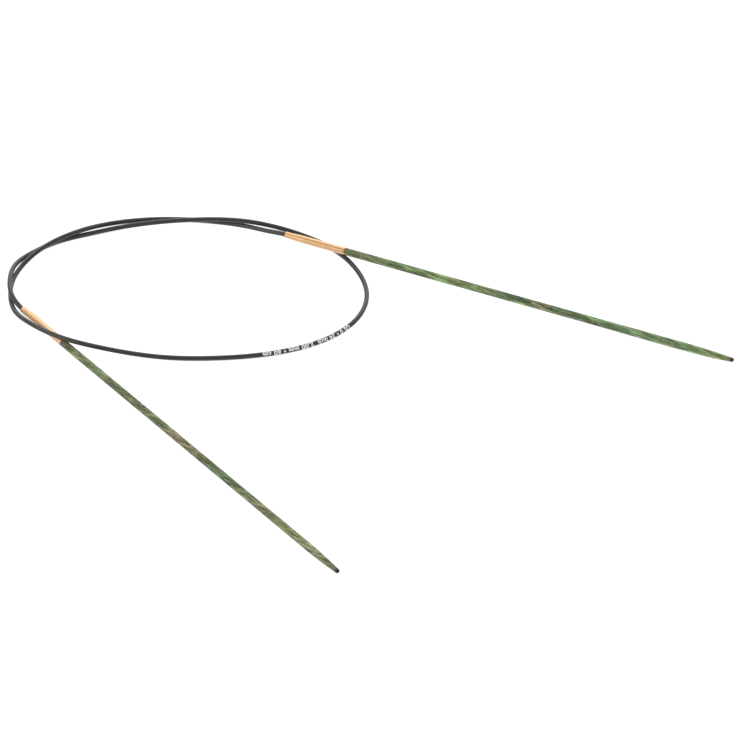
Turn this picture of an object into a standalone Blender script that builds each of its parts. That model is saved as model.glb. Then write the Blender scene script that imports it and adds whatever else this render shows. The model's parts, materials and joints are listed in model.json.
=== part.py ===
"""A fixed circular knitting needle: two laminated wood tips, each glued into a metal ferrule, and one
smooth cable that joins them and lies in a loop and a half on the table.

Blender 4.5. Metres, +Z up, the table at z = 0. The origin is the middle of the two tips' box, on the table.
The cable is one real piece. It is made here as stretches laid end to end: most of it keeps its shape,
and the stretches next to the ferrules, and the strand lying over the left ferrule, are the ones that bend.
"""

import math

import bpy
import numpy as np
from mathutils import Matrix, Vector

MM = 0.001

# Size 2.0 mm needle, 600 mm from point to point: two tips of 127 mm (5 in) and about 344 mm of cable.
TIP_LENGTH = 127.0 * MM
TIP_RADIUS = 1.0 * MM
SIDES = 16
FLAT_RADIUS = TIP_RADIUS * math.cos(math.pi / SIDES)

# Wooden shaft, measured from the ferrule's mouth.
FERRULE_LENGTH = 17.5 * MM
TENON_START = 9.4 * MM
TENON_RADIUS = 0.74 * MM
TAPER_LENGTH = 12.0 * MM
POINT_RADIUS = 0.58 * MM
TAPER_STEPS = 6
POINT_STEPS = 4

# Ferrule: a thin tube, drawn in to the cable at its mouth.
BORE_RADIUS = 0.80 * MM
MOUTH_RADIUS = 0.87 * MM
MOUTH_BORE = 0.69 * MM
MOUTH_STRAIGHT = 1.2 * MM
FLARE_END = 5.4 * MM
LIP = 0.05 * MM

# Cable, its end in the ferrule, and the adhesive round that end.
CABLE_RADIUS = 0.65 * MM
CABLE_END_LENGTH = 8.0 * MM
GLUE_RADIUS = 0.77 * MM
GLUE_START = 5.8 * MM
FIT_GAP = 0.03 * MM
SEAM = 0.05 * MM
END_GAP = 0.3 * MM
POINT_SPACING = 4.9 * MM

# Each tip: where its ferrule's mouth is, the compass heading of its point from +X, in degrees.
LEFT_MOUTH = Vector((-92.9 * MM, 33.45 * MM, FLAT_RADIUS))
LEFT_HEADING = -48.3
RIGHT_MOUTH = Vector((-23.9 * MM, 62.0 * MM, 2.82 * MM))
RIGHT_HEADING = -22.4

# The cable's route in millimetres, from the left ferrule's mouth to the right one's. It lies on the table
# at z = 0.72, passes over itself where z is 2.3 to 2.75, and over the left ferrule where z is 2.85.
ROUTE = [
    (-95.0, 35.7, 1.85),
    (-96.8, 40.2, 2.35),
    (-97.2, 46.2, 2.3),
    (-96.2, 51.8, 1.35),
    (-91.8, 57.4, 0.8),
    (-85.1, 62.0, 0.72),
    (-78.5, 64.6, 0.72),
    (-71.7, 66.7, 0.9),
    (-60.1, 68.6, 1.6),
    (-49.5, 68.9, 2.35),
    (-41.0, 68.5, 2.75),
    (-33.5, 67.6, 2.65),
    (-26.5, 66.5, 1.7),
    (-17.7, 63.3, 0.74),
    (-9.8, 57.2, 0.72),
    (-3.9, 48.4, 0.72),
    (-1.8, 39.2, 0.72),
    (-4.1, 30.5, 0.72),
    (-11.1, 22.9, 0.72),
    (-23.2, 17.3, 0.72),
    (-39.9, 14.7, 0.72),
    (-56.6, 14.9, 1.0),
    (-70.1, 16.9, 2.05),
    (-83.5, 21.3, 2.85),
    (-91.0, 27.2, 2.2),
    (-95.5, 34.1, 0.76),
    (-96.9, 41.1, 0.72),
    (-96.2, 47.7, 0.72),
    (-92.0, 54.6, 1.9),
    (-86.5, 60.0, 2.3),
    (-81.8, 63.3, 2.3),
    (-76.8, 66.5, 1.7),
    (-65.9, 70.5, 0.72),
    (-49.3, 70.8, 0.72),
    (-40.5, 69.2, 0.95),
    (-33.5, 66.6, 1.6),
    (-28.0, 63.8, 2.4),
]

# Where each stretch of the cable ends: how far along it from the left mouth, in millimetres. NECK and BEND
# are measured back from the right mouth as well.
NECK = 8.0
BEND = 26.0
STRAND_START = 185.0
STRAND_TOP = 229.5
STRAND_END = 252.0

COLLECTION = "circular_knitting_needle"


def clear_scene():
    for old in list(bpy.data.objects):
        bpy.data.objects.remove(old, do_unlink=True)


def new_collection():
    parts = bpy.data.collections.new(COLLECTION)
    bpy.context.scene.collection.children.link(parts)
    return parts


def material(name, color, roughness, metallic=0.0):
    mat = bpy.data.materials.new(name)
    mat.use_nodes = True
    shader = mat.node_tree.nodes["Principled BSDF"]
    shader.inputs["Base Color"].default_value = (*color, 1.0)
    shader.inputs["Roughness"].default_value = roughness
    shader.inputs["Metallic"].default_value = metallic
    return mat


def tip_frame(mouth, heading_deg):
    """A matrix whose Z runs from the mouth to the point, with a flat of the sixteen-sided shaft underneath."""
    heading = math.radians(heading_deg)
    straight = TIP_LENGTH - TAPER_LENGTH
    drop = math.asin((mouth.z - FLAT_RADIUS) / straight)
    along = Vector((
        math.cos(heading) * math.cos(drop),
        math.sin(heading) * math.cos(drop),
        -math.sin(drop),
    ))
    sideways = along.cross(Vector((0, 0, 1))).normalized()
    down = along.cross(sideways).normalized()
    frame = Matrix((down, along.cross(down), along)).transposed().to_4x4()
    half_side = Matrix.Rotation(math.pi / SIDES, 4, "Z")
    return Matrix.Translation(mouth) @ frame @ half_side


def turned(name, outline, closed, frame, mat, parts, sides=SIDES):
    """A turned solid. The outline is (radius, height) points down the outer side, and up the bore if hollow."""
    mesh = bpy.data.meshes.new(name)
    points = [(radius, 0.0, height) for radius, height in outline]
    edges = [(i, i + 1) for i in range(len(points) - 1)]
    if closed:
        edges.append((len(points) - 1, 0))
    mesh.from_pydata(points, edges, [])
    piece = bpy.data.objects.new(name, mesh)
    parts.objects.link(piece)
    screw = piece.modifiers.new("turn", "SCREW")
    screw.axis = "Z"
    screw.angle = 2 * math.pi
    screw.steps = sides
    screw.render_steps = sides
    screw.use_merge_vertices = True
    screw.merge_threshold = 0.001 * MM
    screw.use_smooth_shade = True
    piece.data.materials.append(mat)
    piece.matrix_world = frame
    return piece


def shaft_outline():
    """From the rounded point down the taper and the straight shaft to the thinner tenon."""
    point_base = TIP_LENGTH - POINT_RADIUS
    outline = [(0.0, TIP_LENGTH)]
    for i in range(1, POINT_STEPS):
        turn = 0.5 * math.pi * i / POINT_STEPS
        outline.append((POINT_RADIUS * math.sin(turn), point_base + POINT_RADIUS * math.cos(turn)))
    taper_base = TIP_LENGTH - TAPER_LENGTH
    for i in range(TAPER_STEPS + 1):
        share = i / TAPER_STEPS
        swell = math.sin(0.5 * math.pi * share)
        outline.append((
            POINT_RADIUS + (TIP_RADIUS - POINT_RADIUS) * swell,
            point_base + (taper_base - point_base) * share,
        ))
    shoulder = FERRULE_LENGTH + SEAM
    outline += [
        (TIP_RADIUS, shoulder),
        (TENON_RADIUS, shoulder),
        (TENON_RADIUS, TENON_START),
        (0.0, TENON_START),
    ]
    return outline


def ferrule_outline():
    """Outer side from the wood end down to the mouth, then back up the bore."""
    return [
        (TIP_RADIUS - LIP, FERRULE_LENGTH),
        (TIP_RADIUS, FERRULE_LENGTH - LIP),
        (TIP_RADIUS, FLARE_END),
        (MOUTH_RADIUS, MOUTH_STRAIGHT),
        (MOUTH_RADIUS, LIP),
        (MOUTH_RADIUS - LIP, 0.0),
        (MOUTH_BORE, 0.0),
        (MOUTH_BORE, MOUTH_STRAIGHT),
        (BORE_RADIUS, FLARE_END),
        (BORE_RADIUS, FERRULE_LENGTH),
    ]


def cable_end_outline():
    return [
        (0.0, CABLE_END_LENGTH),
        (CABLE_RADIUS, CABLE_END_LENGTH),
        (CABLE_RADIUS, 0.0),
        (0.0, 0.0),
    ]


def glue_outline():
    """A thimble of adhesive: round the end of the cable and over its face, up to the wood's tenon."""
    return [
        (0.0, TENON_START - FIT_GAP),
        (GLUE_RADIUS, TENON_START - FIT_GAP),
        (GLUE_RADIUS, GLUE_START),
        (CABLE_RADIUS + FIT_GAP, GLUE_START),
        (CABLE_RADIUS + FIT_GAP, CABLE_END_LENGTH + FIT_GAP),
        (0.0, CABLE_END_LENGTH + FIT_GAP),
    ]


def spline_through(points, start_direction, end_direction):
    """A cubic through the points over their chord length, leaving and arriving along the two directions."""
    chord = np.concatenate([[0], np.cumsum(np.linalg.norm(np.diff(points, axis=0), axis=1))])
    gaps = np.diff(chord)
    rise = np.diff(points, axis=0) / gaps[:, None]
    count = len(points)
    system = np.zeros((count, count))
    wanted = np.zeros((count, 3))
    system[0, 0] = 1
    wanted[0] = start_direction
    system[-1, -1] = 1
    wanted[-1] = end_direction
    for i in range(1, count - 1):
        system[i, i - 1] = gaps[i]
        system[i, i] = 2 * (gaps[i - 1] + gaps[i])
        system[i, i + 1] = gaps[i - 1]
        wanted[i] = 3 * (gaps[i] * rise[i - 1] + gaps[i - 1] * rise[i])
    slope = np.linalg.solve(system, wanted)
    line = []
    for i in range(count - 1):
        for t in np.linspace(0, 1, 60, endpoint=False):
            line.append(
                (2 * t**3 - 3 * t**2 + 1) * points[i]
                + (t**3 - 2 * t**2 + t) * gaps[i] * slope[i]
                + (3 * t**2 - 2 * t**3) * points[i + 1]
                + (t**3 - t**2) * gaps[i] * slope[i + 1]
            )
    line.append(points[-1])
    return np.array(line)


class Cable:
    """The cable's centreline, and the points on it at a distance from the left ferrule's mouth."""

    def __init__(self, left_frame, right_frame):
        out_of_left = -np.array(left_frame.col[2][:3])
        into_right = np.array(right_frame.col[2][:3])
        points = np.array([LEFT_MOUTH / MM, *ROUTE, RIGHT_MOUTH / MM]) * MM
        self.line = spline_through(points, out_of_left, into_right)
        steps = np.linalg.norm(np.diff(self.line, axis=0), axis=1)
        self.along = np.concatenate([[0], np.cumsum(steps)])
        self.length = self.along[-1]

    def at(self, distances):
        return np.stack([np.interp(distances, self.along, self.line[:, k]) for k in range(3)], axis=-1)

    def stretch(self, name, start, end, mat, parts):
        """A tube along the cable from start to end."""
        count = max(3, math.ceil((end - start) / POINT_SPACING) + 1)
        curve = bpy.data.curves.new(name, "CURVE")
        curve.dimensions = "3D"
        curve.bevel_depth = CABLE_RADIUS
        curve.bevel_resolution = 2
        curve.use_fill_caps = True
        spline = curve.splines.new("POLY")
        spline.points.add(count - 1)
        for point, place in zip(spline.points, self.at(np.linspace(start, end, count))):
            point.co = (*place, 1.0)
        spline.use_smooth = True
        curve.materials.append(mat)
        piece = bpy.data.objects.new(name, curve)
        parts.objects.link(piece)
        return piece


def joint_empty(name, place, parts, parent=None):
    empty = bpy.data.objects.new(name, None)
    empty.empty_display_size = 5 * MM
    empty.location = place
    parts.objects.link(empty)
    if parent:
        attach(parent, empty)
    bpy.context.view_layer.update()
    return empty


def attach(parent, *pieces):
    """The pieces move with the parent, and stay where they are."""
    bpy.context.view_layer.update()
    for piece in pieces:
        piece.parent = parent
        piece.matrix_parent_inverse = parent.matrix_world.inverted()


def needle_tip(side, frame, mats, parts):
    """One tip: the wooden shaft, its ferrule, and the glued end of the cable inside it."""
    return [
        turned(f"{side}_shaft", shaft_outline(), False, frame, mats["wood"], parts),
        turned(f"{side}_ferrule", ferrule_outline(), True, frame, mats["ferrule"], parts),
        turned(f"{side}_cable_end", cable_end_outline(), False, frame, mats["cable"], parts),
        turned(f"{side}_adhesive", glue_outline(), False, frame, mats["adhesive"], parts),
    ]


def main():
    clear_scene()
    parts = new_collection()
    mats = {
        "wood": material("laminated_wood", (0.10, 0.20, 0.07), 0.45),
        "ferrule": material("copper_plate", (0.90, 0.52, 0.30), 0.22, 1.0),
        "cable": material("cable_nylon", (0.035, 0.037, 0.036), 0.38),
        "adhesive": material("adhesive", (0.75, 0.66, 0.42), 0.30),
    }
    frames = {
        "left": tip_frame(LEFT_MOUTH, LEFT_HEADING),
        "right": tip_frame(RIGHT_MOUTH, RIGHT_HEADING),
    }
    cable = Cable(frames["left"], frames["right"])
    neck, bend = NECK * MM, BEND * MM
    half_gap = END_GAP / 2
    ends = {
        "left_neck": (END_GAP, neck - half_gap),
        "left_bend": (neck + half_gap, bend - half_gap),
        "cable_back": (bend + half_gap, STRAND_START * MM - half_gap),
        "strand_rise": (STRAND_START * MM + half_gap, STRAND_TOP * MM - half_gap),
        "strand_fall": (STRAND_TOP * MM + half_gap, STRAND_END * MM - half_gap),
        "cable_side": (STRAND_END * MM + half_gap, cable.length - bend - half_gap),
        "right_bend": (cable.length - bend + half_gap, cable.length - neck - half_gap),
        "right_neck": (cable.length - neck + half_gap, cable.length - END_GAP),
    }
    stretch = {
        name: cable.stretch(name, start, end, mats["cable"], parts)
        for name, (start, end) in ends.items()
    }
    from_mouth = {
        "left": lambda distance: cable.at(distance),
        "right": lambda distance: cable.at(cable.length - distance),
    }
    for side, frame in frames.items():
        tip = needle_tip(side, frame, mats, parts)
        lift = joint_empty(f"{side}_lift", from_mouth[side]((neck + bend) / 2), parts)
        swing = joint_empty(f"{side}_swing", from_mouth[side](neck / 2), parts, lift)
        twist = joint_empty(f"{side}_twist", frame.translation, parts, swing)
        attach(lift, stretch[f"{side}_bend"])
        attach(swing, stretch[f"{side}_neck"])
        attach(twist, *tip)


main()
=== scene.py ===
"""The looks of the circular knitting needle: fine round shafts and ferrules, one smooth cable with its
printed size, and their materials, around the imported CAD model.

Metres, +Z up, the table at z = 0. The places of the two tips come from the frame's twist joints, and the
cable's route is the CAD model's own, repeated here.
"""

import json
import math

import bmesh
import bpy
import numpy as np
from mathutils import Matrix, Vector


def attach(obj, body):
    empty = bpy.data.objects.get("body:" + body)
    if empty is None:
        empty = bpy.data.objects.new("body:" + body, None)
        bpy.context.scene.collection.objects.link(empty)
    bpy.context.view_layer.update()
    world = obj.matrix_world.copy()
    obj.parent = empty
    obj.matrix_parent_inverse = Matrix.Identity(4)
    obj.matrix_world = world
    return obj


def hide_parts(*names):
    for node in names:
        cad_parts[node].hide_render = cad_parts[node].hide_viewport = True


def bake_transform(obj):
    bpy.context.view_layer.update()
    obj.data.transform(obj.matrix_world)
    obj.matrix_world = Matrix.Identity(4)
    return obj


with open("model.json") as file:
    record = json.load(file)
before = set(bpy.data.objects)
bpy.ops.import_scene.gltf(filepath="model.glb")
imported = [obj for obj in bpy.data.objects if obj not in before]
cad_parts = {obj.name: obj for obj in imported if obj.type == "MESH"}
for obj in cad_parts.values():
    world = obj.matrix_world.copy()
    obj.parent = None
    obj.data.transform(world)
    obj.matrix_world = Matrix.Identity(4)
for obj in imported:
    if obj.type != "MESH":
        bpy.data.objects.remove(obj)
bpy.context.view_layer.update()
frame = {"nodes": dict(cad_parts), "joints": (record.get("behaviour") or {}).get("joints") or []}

MM = 0.001

# Camera.
SENSOR_WIDTH = 36.0
LENS = 131.7
CAMERA_PLACE = (-0.00121, -0.50196, 0.4752)
CAMERA_TILT = math.radians(47.2)
CLIP_START = 0.01

# The cable: its thickness, and where its stretches begin and end, measured along it from a ferrule's mouth.
CABLE_RADIUS = 0.65 * MM
NECK = 8.0 * MM
BEND = 26.0 * MM
MOUTH_GAP = 0.02 * MM
RING_SPACING = 0.6 * MM
CABLE_SIDES = 28
SPLINE_STEPS = 60

# The cable's route from the left ferrule's mouth to the right one's, as in the CAD model.
ROUTE = [
    (-0.095, 0.0357, 0.00185),
    (-0.0968, 0.0402, 0.00235),
    (-0.0972, 0.0462, 0.0023),
    (-0.0962, 0.0518, 0.00135),
    (-0.0918, 0.0574, 0.0008),
    (-0.0851, 0.062, 0.00072),
    (-0.0785, 0.0646, 0.00072),
    (-0.0717, 0.0667, 0.0009),
    (-0.0601, 0.0686, 0.0016),
    (-0.0495, 0.0689, 0.00235),
    (-0.041, 0.0685, 0.00275),
    (-0.0335, 0.0676, 0.00265),
    (-0.0265, 0.0665, 0.0017),
    (-0.0177, 0.0633, 0.00074),
    (-0.0098, 0.0572, 0.00072),
    (-0.0039, 0.0484, 0.00072),
    (-0.0018, 0.0392, 0.00072),
    (-0.0041, 0.0305, 0.00072),
    (-0.0111, 0.0229, 0.00072),
    (-0.0232, 0.0173, 0.00072),
    (-0.0399, 0.0147, 0.00072),
    (-0.0566, 0.0149, 0.001),
    (-0.0701, 0.0169, 0.00205),
    (-0.0835, 0.0213, 0.00285),
    (-0.091, 0.0272, 0.0022),
    (-0.0955, 0.0341, 0.00076),
    (-0.0969, 0.0411, 0.00072),
    (-0.0962, 0.0477, 0.00072),
    (-0.092, 0.0546, 0.0019),
    (-0.0865, 0.06, 0.0023),
    (-0.0818, 0.0633, 0.0023),
    (-0.0768, 0.0665, 0.0017),
    (-0.0659, 0.0705, 0.00072),
    (-0.0493, 0.0708, 0.00072),
    (-0.0405, 0.0692, 0.00095),
    (-0.0335, 0.0666, 0.0016),
    (-0.028, 0.0638, 0.0024),
]

# Ferrule, measured from its mouth.
MOUTH_RADIUS = 0.87 * MM
MOUTH_BORE = 0.69 * MM
MOUTH_STRAIGHT = 1.2 * MM
FLARE_END = 5.4 * MM
BORE_RADIUS = 0.80 * MM
RIM_ROUND = 0.09 * MM
MOUTH_LIP = 0.3 * RIM_ROUND

# Wooden shaft.
TAPER_LENGTH = 12.0 * MM
POINT_RADIUS = 0.58 * MM
TENON_RADIUS = 0.74 * MM
SHOULDER_GAP = 0.04 * MM
SHOULDER_CHAMFER = 0.04 * MM
SHAFT_SPACING = 0.7 * MM
TURNED_SIDES = 64

# Edges sharper than this stay sharp: on plain tubes, and on the turned pieces. Then how near two points of
# a turned piece are when they are one, and how short an edge is when it is none.
TUBE_CREASE = math.radians(60)
TURNED_CREASE = math.radians(40)
WELD = 0.0005 * MM
NO_LENGTH = 0.0001 * MM

# Laminated wood: for each tip the thickness of a ply in millimetres, the turn of its plies about the
# shaft, their tilt against it and their shift along it, and where a browner, flecked patch lies along the
# shifted grain and how far it reaches. Then the dyes of successive plies, and two stains that run through
# them.
WOODS = {
    "left": {
        "ply": 1.6, "turn": math.radians(36), "tilt": math.radians(14), "shift": 0.0,
        "patch": (65.0, 8.0),
        "dyes": [
            (0.130, 0.160, 0.062), (0.078, 0.092, 0.034), (0.175, 0.188, 0.096),
            (0.084, 0.132, 0.053), (0.122, 0.112, 0.056), (0.100, 0.124, 0.046),
        ],
        "green": (0.080, 0.140, 0.056), "brown": (0.165, 0.158, 0.075),
    },
    "right": {
        "ply": 1.6, "turn": math.radians(225), "tilt": math.radians(6), "shift": 214.0,
        "patch": (286.0, 4.0),
        "dyes": [
            (0.130, 0.195, 0.074), (0.080, 0.112, 0.045), (0.158, 0.205, 0.082),
            (0.135, 0.220, 0.098), (0.130, 0.150, 0.066), (0.085, 0.135, 0.068),
        ],
        "green": (0.096, 0.180, 0.083), "brown": (0.180, 0.195, 0.078),
    },
}

# The pale flecks, the browner patch, the rubbed wood near the point and the dark point itself. From one ply
# to the next the dye moves on by DYE_STEP of the list.
WOOD_PALE = (0.420, 0.420, 0.240)
WOOD_PATCH = (0.125, 0.100, 0.055)
WOOD_RUBBED = (0.16, 0.115, 0.085)
WOOD_POINT = (0.030, 0.018, 0.013)
DYE_STEP = 0.382

# The size print: white lettering along the outer side of the loop. For each part its words, and where
# along the cable it starts and ends, in millimetres. It is cut into rows and columns so that it can wrap.
PRINTS = [("US 0 • 24 inch", 148.4, 158.6), ("2,00 mm • 60 cm", 159.8, 173.6)]
PRINT_HEIGHT = 1.35 * MM
PRINT_RISE = 0.012 * MM
PRINT_ROOT = 0.02 * MM
PRINT_ANGLE = math.radians(148)
LETTER_WELD = 0.0005
PRINT_ROWS = 0.1 * MM
PRINT_COLUMNS = 0.4 * MM

# The white table glows, and its glow is painted darker as shade where the cable's strands close it in: how
# far away it feels them, and the openness at which the painted shade is darkest and at which the table is
# fully white.
PAINTED_SHADE_REACH = 2.0 * MM
PAINTED_SHADE_OPENNESS = (0.05, 0.3)
FLOOR_HALF = 6.0
FLOOR_LEVEL = -0.02 * MM

# Light: the white room's strength, then each softbox: place, width, height and radiance. They face the
# origin.
ROOM_STRENGTH = 0.7
SOFTBOXES = {
    "back_softbox": ((0.12, 0.85, 0.66), 1.9, 1.1, 1.5),
    "side_softbox": ((-0.9, -0.35, 0.55), 0.9, 0.7, 2.0),
}


def add_object(name, data):
    added = bpy.data.objects.new(name, data)
    bpy.context.scene.collection.objects.link(added)
    return added


# ---------------------------------------------------------------------------------------------------------
# Camera
# ---------------------------------------------------------------------------------------------------------

def make_camera():
    data = bpy.data.cameras.new("camera")
    data.sensor_width = SENSOR_WIDTH
    data.lens = LENS
    data.clip_start = CLIP_START
    camera = add_object("camera", data)
    camera.location = CAMERA_PLACE
    camera.rotation_euler = (CAMERA_TILT, 0.0, 0.0)
    bpy.context.scene.camera = camera


# ---------------------------------------------------------------------------------------------------------
# Material helpers
# ---------------------------------------------------------------------------------------------------------

class Shader:
    """A material with a Principled shader, and short calls for the nodes that feed it."""

    def __init__(self, name):
        self.material = bpy.data.materials.new(name)
        self.material.use_nodes = True
        self.tree = self.material.node_tree
        self.surface = self.tree.nodes["Principled BSDF"]

    def plug(self, socket, value):
        if isinstance(value, bpy.types.NodeSocket):
            self.tree.links.new(value, socket)
        else:
            socket.default_value = value

    def set(self, **values):
        """Sets the shader's own sockets: base_color=..., coat_weight=..."""
        for key, value in values.items():
            name = key.replace("_", " ").title().replace("Ior", "IOR")
            self.plug(self.surface.inputs[name], value)

    def attribute(self, name):
        found = self.tree.nodes.new("ShaderNodeAttribute")
        found.attribute_name = name
        return found.outputs["Vector"]

    def split(self, vector):
        parts = self.tree.nodes.new("ShaderNodeSeparateXYZ")
        self.plug(parts.inputs[0], vector)
        return parts.outputs[0], parts.outputs[1], parts.outputs[2]

    def join(self, x, y, z):
        whole = self.tree.nodes.new("ShaderNodeCombineXYZ")
        for socket, value in zip(whole.inputs, (x, y, z)):
            self.plug(socket, value)
        return whole.outputs[0]

    def math(self, operation, *values):
        step = self.tree.nodes.new("ShaderNodeMath")
        step.operation = operation
        for socket, value in zip(step.inputs, values):
            self.plug(socket, value)
        return step.outputs[0]

    def noise(self, vector, scale=1.0, detail=2.0, roughness=0.5):
        texture = self.tree.nodes.new("ShaderNodeTexNoise")
        self.plug(texture.inputs["Vector"], vector)
        texture.inputs["Scale"].default_value = scale
        texture.inputs["Detail"].default_value = detail
        texture.inputs["Roughness"].default_value = roughness
        return texture.outputs["Fac"]

    def span(self, value, from_low, from_high, to_low, to_high):
        """Value rescaled from one range to another, and held inside it."""
        step = self.tree.nodes.new("ShaderNodeMapRange")
        for socket, number in zip(step.inputs, (value, from_low, from_high, to_low, to_high)):
            self.plug(socket, number)
        return step.outputs[0]

    def ramp(self, value, stops, interpolation="LINEAR"):
        step = self.tree.nodes.new("ShaderNodeValToRGB")
        self.plug(step.inputs[0], value)
        ramp = step.color_ramp
        ramp.interpolation = interpolation
        while len(ramp.elements) < len(stops):
            ramp.elements.new(1.0)
        for element, (place, color) in zip(ramp.elements, stops):
            element.position = place
            element.color = (*color, 1.0)
        return step.outputs[0]

    def mix(self, share, first, second, mode="MIX"):
        step = self.tree.nodes.new("ShaderNodeMix")
        step.data_type = "RGBA"
        step.blend_type = mode
        self.plug(step.inputs["Factor"], share)
        for name, value in (("A", first), ("B", second)):
            socket = next(s for s in step.inputs if s.name == name and s.type == "RGBA")
            self.plug(socket, (*value, 1.0) if isinstance(value, tuple) else value)
        return next(s for s in step.outputs if s.type == "RGBA")

    def bump(self, height, distance, strength=1.0):
        step = self.tree.nodes.new("ShaderNodeBump")
        step.inputs["Strength"].default_value = strength
        step.inputs["Distance"].default_value = distance
        self.plug(step.inputs["Height"], height)
        self.plug(self.surface.inputs["Normal"], step.outputs[0])


def wood_material(side):
    """Laminated birch, dyed ply by ply. "grain" holds millimetres: X across plies, Z along the fibres."""
    look = WOODS[side]
    wood = Shader(f"laminated_wood_{side}")
    x, y, z = wood.split(wood.attribute("grain"))

    def figure(across, along, detail=3.0, roughness=0.6):
        """Noise drawn out along the fibres: how many turns of it there are in a millimetre each way."""
        place = wood.join(wood.math("MULTIPLY", x, across), wood.math("MULTIPLY", y, across),
                          wood.math("MULTIPLY", z, along))
        return wood.noise(place, detail=detail, roughness=roughness)

    drift = wood.span(figure(0.22, 0.05), 0.3, 0.7, -0.45, 0.45)
    layer = wood.math("ADD", wood.math("DIVIDE", x, look["ply"]), drift)
    index = wood.math("FLOOR", layer)
    share = wood.math("FRACT", layer)
    stops = [(k / len(look["dyes"]), dye) for k, dye in enumerate(look["dyes"])]
    dye = wood.ramp(wood.math("FRACT", wood.math("MULTIPLY", index, DYE_STEP)), stops, "CONSTANT")
    dye = wood.mix(wood.span(figure(0.8, 0.10), 0.5, 0.66, 0.0, 0.5), dye, look["green"])
    dye = wood.mix(wood.span(figure(1.1, 0.16), 0.54, 0.68, 0.0, 0.5), dye, look["brown"])
    centre, reach = look["patch"]
    away = wood.math("ABSOLUTE", wood.math("SUBTRACT", z, centre))
    patch = wood.span(away, 0.5 * reach, reach, 1.0, 0.0)
    stain = wood.math("MULTIPLY", patch, wood.span(figure(1.3, 0.4), 0.44, 0.52, 0.0, 0.9))
    dye = wood.mix(stain, dye, WOOD_PATCH)
    streak = figure(2.0, 0.22, 4.0, 0.65)
    light = wood.math("MULTIPLY", wood.span(streak, 0.36, 0.64, 0.35, 1.7),
                      wood.span(figure(0.5, 0.16, 2.0), 0.35, 0.65, 0.65, 1.4))
    color = wood.mix(1.0, dye, light, "MULTIPLY")
    fleck = wood.span(wood.math("ADD", figure(3.2, 0.55, 2.0), wood.math("MULTIPLY", patch, 0.08)),
                      0.6, 0.7, 0.0, 0.6)
    color = wood.mix(fleck, color, WOOD_PALE)
    edge = wood.math("MINIMUM", share, wood.math("SUBTRACT", 1.0, share))
    color = wood.mix(1.0, color, wood.span(edge, 0.0, 0.07, 0.5, 1.0), "MULTIPLY")
    end = wood.attribute("end_distance")
    color = wood.mix(wood.span(end, 1.2, 2.4, 0.75, 0.0), color, WOOD_RUBBED)
    color = wood.mix(wood.span(end, 0.7, 1.15, 1.0, 0.0), color, WOOD_POINT)
    wood.set(base_color=color, roughness=wood.span(streak, 0.3, 0.7, 0.55, 0.42), specular_ior_level=0.3,
             coat_weight=0.05, coat_roughness=0.2)
    wood.bump(streak, 0.01 * MM, 0.5)
    return wood.material


def ferrule_material():
    """Copper plating, polished round the tube, a little dulled in places."""
    metal = Shader("copper_plating")
    x, y, z = metal.split(metal.attribute("grain"))
    rings = metal.noise(metal.join(x, y, metal.math("MULTIPLY", z, 9.0)), detail=3.0)
    cloud = metal.noise(metal.attribute("grain"), scale=0.7, detail=3.0)
    color = metal.ramp(cloud, [(0.3, (0.57, 0.325, 0.15)), (0.7, (0.63, 0.38, 0.19))])
    metal.set(base_color=color, metallic=1.0, roughness=metal.span(cloud, 0.3, 0.7, 0.34, 0.42),
              coat_weight=0.8, coat_roughness=0.32)
    metal.bump(rings, 0.003 * MM, 0.25)
    return metal.material


def cable_material():
    """Dark grey nylon with a soft sheen and faint lines from the die along it."""
    nylon = Shader("cable_nylon")
    x, y, z = nylon.split(nylon.attribute("grain"))
    lines = nylon.noise(nylon.join(nylon.math("MULTIPLY", x, 6.0), nylon.math("MULTIPLY", y, 6.0),
                                   nylon.math("MULTIPLY", z, 0.25)), detail=3.0)
    cloud = nylon.noise(nylon.attribute("grain"), scale=0.35, detail=2.0)
    color = nylon.ramp(cloud, [(0.3, (0.014, 0.0145, 0.0115)), (0.7, (0.023, 0.0235, 0.0185))])
    nylon.set(base_color=color, roughness=nylon.span(lines, 0.3, 0.7, 0.24, 0.32), specular_ior_level=0.5)
    nylon.bump(lines, 0.004 * MM, 0.4)
    return nylon.material


def ink_material():
    """White printing ink, a little uneven."""
    ink = Shader("white_ink")
    speck = ink.noise(ink.attribute("grain"), scale=3.0, detail=3.0)
    color = ink.ramp(speck, [(0.3, (0.62, 0.62, 0.60)), (0.6, (0.80, 0.80, 0.78))])
    ink.set(base_color=color, roughness=ink.span(speck, 0.3, 0.7, 0.5, 0.65))
    return ink.material


def adhesive_material():
    """Cured epoxy, seen only as a thin line in the ferrule's mouth."""
    glue = Shader("epoxy")
    place = glue.tree.nodes.new("ShaderNodeTexCoord").outputs["Object"]
    cloud = glue.noise(place, scale=900.0, detail=2.0)
    color = glue.ramp(cloud, [(0.3, (0.46, 0.34, 0.15)), (0.7, (0.60, 0.47, 0.24))])
    glue.set(base_color=color, roughness=glue.span(cloud, 0.3, 0.7, 0.25, 0.4))
    return glue.material


# ---------------------------------------------------------------------------------------------------------
# Meshes
# ---------------------------------------------------------------------------------------------------------

def put_attribute(mesh, name, values):
    """A number or a vector on each vertex, for the materials."""
    values = np.asarray(values, np.float32)
    kind = "FLOAT_VECTOR" if values.ndim == 2 else "FLOAT"
    attribute = mesh.attributes.new(name, kind, "POINT")
    attribute.data.foreach_set("vector" if values.ndim == 2 else "value", values.ravel())


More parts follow.
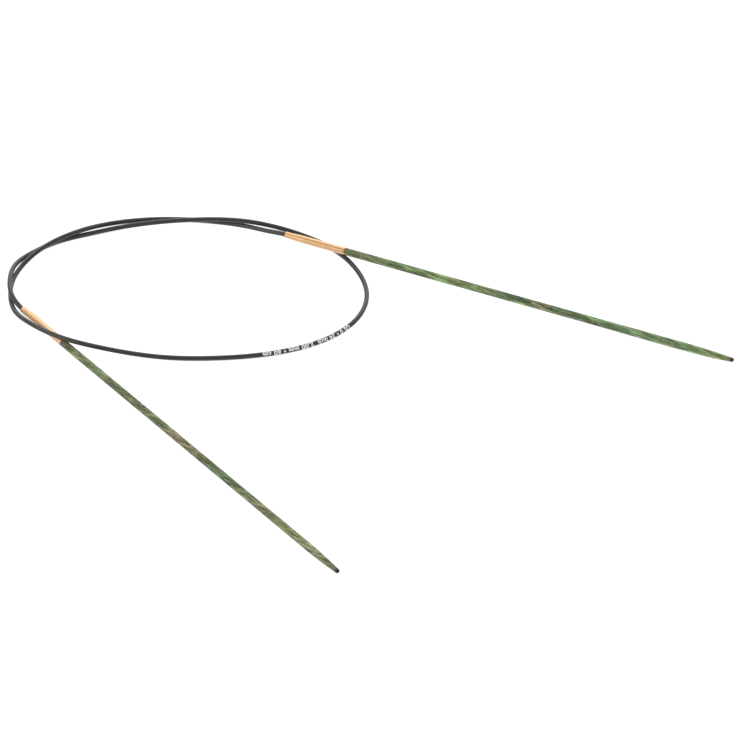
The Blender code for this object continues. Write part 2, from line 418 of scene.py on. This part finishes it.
def grid_mesh(name, rings, mat, closed_ends):
    """A tube from rings of points: an array of ring, point on it, coordinate. Its ends can be closed."""
    count, sides, _ = rings.shape
    faces = []
    for i in range(count - 1):
        for j in range(sides):
            k = (j + 1) % sides
            faces.append((i * sides + j, i * sides + k, (i + 1) * sides + k, (i + 1) * sides + j))
    smooth = [True] * len(faces)
    if closed_ends:
        faces.append(tuple(reversed(range(sides))))
        faces.append(tuple(range((count - 1) * sides, count * sides)))
        smooth += [False, False]
    mesh = bpy.data.meshes.new(name)
    mesh.from_pydata(rings.reshape(-1, 3).tolist(), [], faces)
    mesh.polygons.foreach_set("use_smooth", smooth)
    mesh.set_sharp_from_angle(angle=TUBE_CREASE)
    mesh.materials.append(mat)
    return add_object(name, mesh)


def arc(centre, radius, start, end, steps):
    """Points (radius, height) on a round edge, from one angle to another in degrees."""
    return [
        (centre[0] + radius * math.cos(math.radians(a)), centre[1] + radius * math.sin(math.radians(a)))
        for a in np.linspace(start, end, steps)
    ]


def turned(name, outline, tip, mat):
    """A round piece about a tip's axis, from (radius, distance from the mouth) points; ends on the axis."""
    axis, sideways, lift = tip["along"], tip["sideways"], tip["lift"]
    angles = np.linspace(0, 2 * math.pi, TURNED_SIDES, endpoint=False)
    outline = np.array(outline)
    around = np.stack([np.cos(angles), np.sin(angles)], axis=1)
    flat = outline[:, None, 0:1] * around[None]
    height = np.repeat(outline[:, 1:2], TURNED_SIDES, axis=1)
    rings = (
        tip["mouth"] + flat[..., 0:1] * sideways + flat[..., 1:2] * lift + height[..., None] * axis
    )
    piece = grid_mesh(name, rings, mat, False)
    local = np.concatenate([flat, height[..., None]], axis=2).reshape(-1, 3) / MM
    look = WOODS[tip["side"]]
    turn, tilt = look["turn"], look["tilt"]
    across = local[:, 0] * math.cos(turn) - local[:, 1] * math.sin(turn)
    lengthwise = local[:, 2] + look["shift"]
    put_attribute(piece.data, "grain", np.stack([
        across * math.cos(tilt) + lengthwise * math.sin(tilt),
        local[:, 0] * math.sin(turn) + local[:, 1] * math.cos(turn),
        lengthwise * math.cos(tilt) - across * math.sin(tilt),
    ], axis=1))
    put_attribute(piece.data, "end_distance", tip["length"] / MM - local[:, 2])
    welded = bmesh.new()
    welded.from_mesh(piece.data)
    bmesh.ops.remove_doubles(welded, verts=welded.verts, dist=WELD)
    bmesh.ops.dissolve_degenerate(welded, edges=welded.edges, dist=NO_LENGTH)
    bmesh.ops.recalc_face_normals(welded, faces=welded.faces)
    welded.to_mesh(piece.data)
    welded.free()
    piece.data.set_sharp_from_angle(angle=TURNED_CREASE)
    return piece


# ---------------------------------------------------------------------------------------------------------
# The two tips
# ---------------------------------------------------------------------------------------------------------

def cad_extent(node, mouth, along):
    """How far a CAD node reaches along a tip's axis from its mouth, and its largest radius about it."""
    points = np.array([v.co for v in frame["nodes"][node].data.vertices])
    offset = points - mouth
    distance = offset @ along
    radius = np.linalg.norm(offset - np.outer(distance, along), axis=1)
    return distance.min(), distance.max(), radius.max()


def find_tip(side):
    """Where one tip is: its mouth and axis from the twist joint, its lengths from the CAD nodes."""
    twist = next(j for j in frame["joints"] if j["name"] == f"{side}_twist")
    mouth = np.array(twist["pos_m"])
    along = np.array(twist["axis"])
    along = along / np.linalg.norm(along)
    sideways = np.cross(along, (0, 0, 1))
    sideways = sideways / np.linalg.norm(sideways)
    tenon, length, radius = cad_extent(f"{side}_shaft", mouth, along)
    ferrule_length = cad_extent(f"{side}_ferrule", mouth, along)[1]
    return {
        "side": side, "mouth": mouth, "along": along, "sideways": sideways,
        "lift": np.cross(sideways, along), "tenon": tenon, "length": length,
        "radius": radius, "ferrule": ferrule_length,
    }


def shaft_outline(tip):
    """From the round point over the taper and the long straight shaft to the shoulder and the tenon."""
    point_base = tip["length"] - POINT_RADIUS
    outline = arc((0.0, point_base), POINT_RADIUS, 90, 4, 12)
    taper_base = tip["length"] - TAPER_LENGTH
    for share in np.linspace(0, 1, 24):
        swell = math.sin(0.5 * math.pi * share)
        outline.append((
            POINT_RADIUS + (tip["radius"] - POINT_RADIUS) * swell,
            point_base + (taper_base - point_base) * share,
        ))
    shoulder = tip["ferrule"] + SHOULDER_GAP
    for height in np.arange(taper_base - SHAFT_SPACING, shoulder + MM, -SHAFT_SPACING):
        outline.append((tip["radius"], height))
    outline += [
        (tip["radius"], shoulder + SHOULDER_CHAMFER),
        (tip["radius"] - SHOULDER_CHAMFER, shoulder),
        (TENON_RADIUS, shoulder),
        (TENON_RADIUS, tip["tenon"]),
        (0.0, tip["tenon"]),
    ]
    return outline


def ferrule_outline(tip):
    """Up the outer side from the rolled mouth to the wood, round its rim, and down the bore."""
    radius, length = tip["radius"], tip["ferrule"]
    outline = arc((MOUTH_RADIUS - RIM_ROUND, RIM_ROUND), RIM_ROUND, 270, 360, 7)
    outline.append((MOUTH_RADIUS, MOUTH_STRAIGHT))
    for share in np.linspace(0, 1, 16)[1:]:
        ease = share * share * (3 - 2 * share)
        outline.append((
            MOUTH_RADIUS + (radius - MOUTH_RADIUS) * ease,
            MOUTH_STRAIGHT + (FLARE_END - MOUTH_STRAIGHT) * share,
        ))
    for height in np.arange(FLARE_END + MM, length - MM, MM):
        outline.append((radius, height))
    outline += arc((radius - 0.5 * RIM_ROUND, length - 0.5 * RIM_ROUND), 0.5 * RIM_ROUND, 0, 90, 5)
    outline += [
        (BORE_RADIUS, length),
        (BORE_RADIUS, FLARE_END),
        (MOUTH_BORE, MOUTH_STRAIGHT),
        (MOUTH_BORE, MOUTH_LIP),
    ]
    return outline + outline[:1]


def make_tip(tip, mats):
    side = tip["side"]
    body = f"{side}_tip"
    shaft = turned(f"{side}_wooden_shaft", shaft_outline(tip), tip, mats[f"{side}_wood"])
    ferrule = turned(f"{side}_metal_ferrule", ferrule_outline(tip), tip, mats["ferrule"])
    for piece, node, slot in ((shaft, "shaft", "wood"), (ferrule, "ferrule", "ferrule")):
        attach(piece, body)
        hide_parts(f"{side}_{node}")
    for node, mat in ((f"{side}_adhesive", mats["adhesive"]), (f"{side}_cable_end", mats["cable"])):
        frame["nodes"][node].data.materials.clear()
        frame["nodes"][node].data.materials.append(mat)


# ---------------------------------------------------------------------------------------------------------
# The cable
# ---------------------------------------------------------------------------------------------------------

def spline_through(points, start_direction, end_direction):
    """A cubic through the points over their chord length, leaving and arriving along the two directions."""
    chord = np.concatenate([[0], np.cumsum(np.linalg.norm(np.diff(points, axis=0), axis=1))])
    gaps = np.diff(chord)
    rise = np.diff(points, axis=0) / gaps[:, None]
    count = len(points)
    system = np.zeros((count, count))
    wanted = np.zeros((count, 3))
    system[0, 0] = 1
    wanted[0] = start_direction
    system[-1, -1] = 1
    wanted[-1] = end_direction
    for i in range(1, count - 1):
        system[i, i - 1] = gaps[i]
        system[i, i] = 2 * (gaps[i - 1] + gaps[i])
        system[i, i + 1] = gaps[i - 1]
        wanted[i] = 3 * (gaps[i] * rise[i - 1] + gaps[i - 1] * rise[i])
    slope = np.linalg.solve(system, wanted)
    line = []
    for i in range(count - 1):
        for t in np.linspace(0, 1, SPLINE_STEPS, endpoint=False):
            line.append(
                (2 * t**3 - 3 * t**2 + 1) * points[i]
                + (t**3 - 2 * t**2 + t) * gaps[i] * slope[i]
                + (3 * t**2 - 2 * t**3) * points[i + 1]
                + (t**3 - t**2) * gaps[i] * slope[i + 1]
            )
    line.append(points[-1])
    return np.array(line)


class Cable:
    """The cable's centreline, with a level sideways direction and an upward one all along it."""

    def __init__(self, left, right):
        points = np.array([left["mouth"], *ROUTE, right["mouth"]])
        self.line = spline_through(points, -left["along"], right["along"])
        steps = np.linalg.norm(np.diff(self.line, axis=0), axis=1)
        self.along = np.concatenate([[0], np.cumsum(steps)])
        self.length = self.along[-1]
        self.tangent = np.gradient(self.line, self.along, axis=0)
        self.tangent[0], self.tangent[-1] = -left["along"], right["along"]

    def sample(self, table, distances):
        return np.stack([np.interp(distances, self.along, table[:, k]) for k in range(3)], axis=-1)

    def at(self, distances):
        return self.sample(self.line, distances)

    def frames(self, distances):
        ahead = self.sample(self.tangent, distances)
        ahead /= np.linalg.norm(ahead, axis=-1, keepdims=True)
        right = np.cross(ahead, (0, 0, 1))
        right /= np.linalg.norm(right, axis=-1, keepdims=True)
        return right, np.cross(right, ahead)

    def wrap(self, distances, angles, radius):
        """Points at an angle round the cable: 0 to the right of its direction, a quarter turn on top."""
        right, up = self.frames(distances)
        return self.at(distances) + radius[:, None] * (
            np.cos(angles)[:, None] * right + np.sin(angles)[:, None] * up
        )

    def tube(self, name, start, end, mat):
        """A stretch of the cable, and its ring centres."""
        count = max(3, math.ceil((end - start) / RING_SPACING) + 1)
        distances = np.linspace(start, end, count)
        angles = np.linspace(0, 2 * math.pi, CABLE_SIDES, endpoint=False)
        each_distance = np.repeat(distances, CABLE_SIDES)
        each_angle = np.tile(angles, count)
        points = self.wrap(each_distance, each_angle, np.full(len(each_angle), CABLE_RADIUS))
        piece = grid_mesh(name, points.reshape(count, CABLE_SIDES, 3), mat, True)
        put_attribute(piece.data, "grain", np.stack([
            CABLE_RADIUS / MM * np.cos(each_angle),
            CABLE_RADIUS / MM * np.sin(each_angle),
            each_distance / MM,
        ], axis=1))
        return piece, self.at(distances)


def text_mesh(name, words):
    """Plain lettering as a mesh one unit high, with its left end at x = 0."""
    data = bpy.data.curves.new(name, "FONT")
    data.body = words
    data.size = 1.0
    data.resolution_u = 4
    data.extrude = 0.01
    data.offset = 0.04
    data.space_character = 1.12
    lettering = add_object(name, data)
    bpy.context.view_layer.update()
    evaluated = lettering.evaluated_get(bpy.context.evaluated_depsgraph_get())
    mesh = bpy.data.meshes.new_from_object(evaluated)
    bpy.data.objects.remove(lettering)
    bpy.data.curves.remove(data)
    return mesh


def cut_across(part, axis, places):
    """Cuts every face of a mesh in two at each of the places along an axis, so that it can be bent."""
    for place in places:
        geometry = part.verts[:] + part.edges[:] + part.faces[:]
        bmesh.ops.bisect_plane(part, geom=geometry, dist=1e-7, plane_co=axis * place, plane_no=axis)


def size_print(cable, mat):
    """The printed sizes as thin raised lettering wrapped round the cable."""
    whole = bmesh.new()
    for words, start, end in PRINTS:
        part = bmesh.new()
        mesh = text_mesh("words", words)
        part.from_mesh(mesh)
        bpy.data.meshes.remove(mesh)
        bmesh.ops.remove_doubles(part, verts=part.verts, dist=LETTER_WELD)
        low = min(v.co.x for v in part.verts)
        high = max(v.co.x for v in part.verts)
        top = max(v.co.y for v in part.verts)
        stretch = (end - start) * MM / (high - low)
        for v in part.verts:
            v.co.x = start * MM + (v.co.x - low) * stretch
            v.co.y *= PRINT_HEIGHT / top
        cut_across(part, Vector((0, 1, 0)), np.arange(-2 * PRINT_ROWS, PRINT_HEIGHT, PRINT_ROWS))
        cut_across(part, Vector((1, 0, 0)), np.arange(start * MM, end * MM, PRINT_COLUMNS))
        bmesh.ops.triangulate(part, faces=part.faces[:])
        mesh = bpy.data.meshes.new("words")
        part.to_mesh(mesh)
        part.free()
        whole.from_mesh(mesh)
        bpy.data.meshes.remove(mesh)
    mesh = bpy.data.meshes.new("size_print")
    whole.to_mesh(mesh)
    whole.free()
    flat = np.array([v.co for v in mesh.vertices])
    radius = CABLE_RADIUS + np.where(flat[:, 2] > 0, PRINT_RISE, -PRINT_ROOT)
    angles = PRINT_ANGLE + (flat[:, 1] - 0.5 * PRINT_HEIGHT) / CABLE_RADIUS
    points = cable.wrap(flat[:, 0], angles, radius)
    mesh.vertices.foreach_set("co", points.ravel())
    mesh.materials.append(mat)
    put_attribute(mesh, "grain", points / MM)
    piece = add_object("size_print", mesh)
    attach(piece, "cable")
    return piece


def make_cable(left, right, mats):
    cable = Cable(left, right)
    ends = {
        "left": (MOUTH_GAP, NECK, BEND),
        "right": (cable.length - MOUTH_GAP, cable.length - NECK, cable.length - BEND),
    }
    loop, centres = cable.tube("cable_loop", BEND, cable.length - BEND, mats["cable"])
    for side, (mouth, neck, bend) in ends.items():
        for part, start, end, bodies, node in (
            ("bend", bend, neck, ("cable", f"{side}_lead"), f"{side}_bend"),
            ("neck", neck, mouth, (f"{side}_lead", f"{side}_throat"), f"{side}_neck"),
        ):
            piece, _ = cable.tube(f"{side}_cable_{part}", min(start, end), max(start, end), mats["cable"])
            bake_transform(piece)
            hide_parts(node)
    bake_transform(loop)
    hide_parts("cable_back", "strand_rise", "strand_fall", "cable_side")
    print_piece = size_print(cable, mats["ink"])


# ---------------------------------------------------------------------------------------------------------
# Floor and light
# ---------------------------------------------------------------------------------------------------------

def make_floor():
    mesh = bpy.data.meshes.new("floor")
    signs = ((-1, -1), (1, -1), (1, 1), (-1, 1))
    corners = [(x * FLOOR_HALF, y * FLOOR_HALF, FLOOR_LEVEL) for x, y in signs]
    mesh.from_pydata(corners, [], [(0, 1, 2, 3)])
    floor = add_object("floor", mesh)
    # The floor glows white rather than being lit, and ambient occlusion cuts its glow to paint contact
    # shade round the strands.
    glowing_floor = Shader("glowing_floor_painted_shade")
    openness = glowing_floor.tree.nodes.new("ShaderNodeAmbientOcclusion")
    openness.inputs["Distance"].default_value = PAINTED_SHADE_REACH
    lit = glowing_floor.span(openness.outputs["AO"], *PAINTED_SHADE_OPENNESS, 0.0, 1.0)
    glowing_floor.set(base_color=(0.22, 0.22, 0.22, 1.0), roughness=1.0, specular_ior_level=0.0,
              emission_color=(1.0, 1.0, 1.0, 1.0), emission_strength=lit)
    mesh.materials.append(glowing_floor.material)


def softbox(name, place, width, height, radiance):
    data = bpy.data.lights.new(name, "AREA")
    data.shape = "RECTANGLE"
    data.size = width
    data.size_y = height
    data.energy = radiance * math.pi * width * height
    light = add_object(name, data)
    light.location = place
    light.rotation_euler = (-Vector(place)).to_track_quat("-Z", "Y").to_euler()


def make_light():
    world = bpy.data.worlds.new("white_room")
    bpy.context.scene.world = world
    world.use_nodes = True
    background = world.node_tree.nodes["Background"]
    background.inputs["Color"].default_value = (1.0, 1.0, 1.0, 1.0)
    background.inputs["Strength"].default_value = ROOM_STRENGTH
    for name, look in SOFTBOXES.items():
        softbox(name, *look)
    bpy.context.scene.view_settings.view_transform = "Standard"


def main():
    make_camera()
    mats = {
        "left_wood": wood_material("left"),
        "right_wood": wood_material("right"),
        "ferrule": ferrule_material(),
        "cable": cable_material(),
        "ink": ink_material(),
        "adhesive": adhesive_material(),
    }
    left, right = find_tip("left"), find_tip("right")
    make_cable(left, right, mats)
    make_tip(left, mats)
    make_tip(right, mats)
    make_floor()
    make_light()


main()
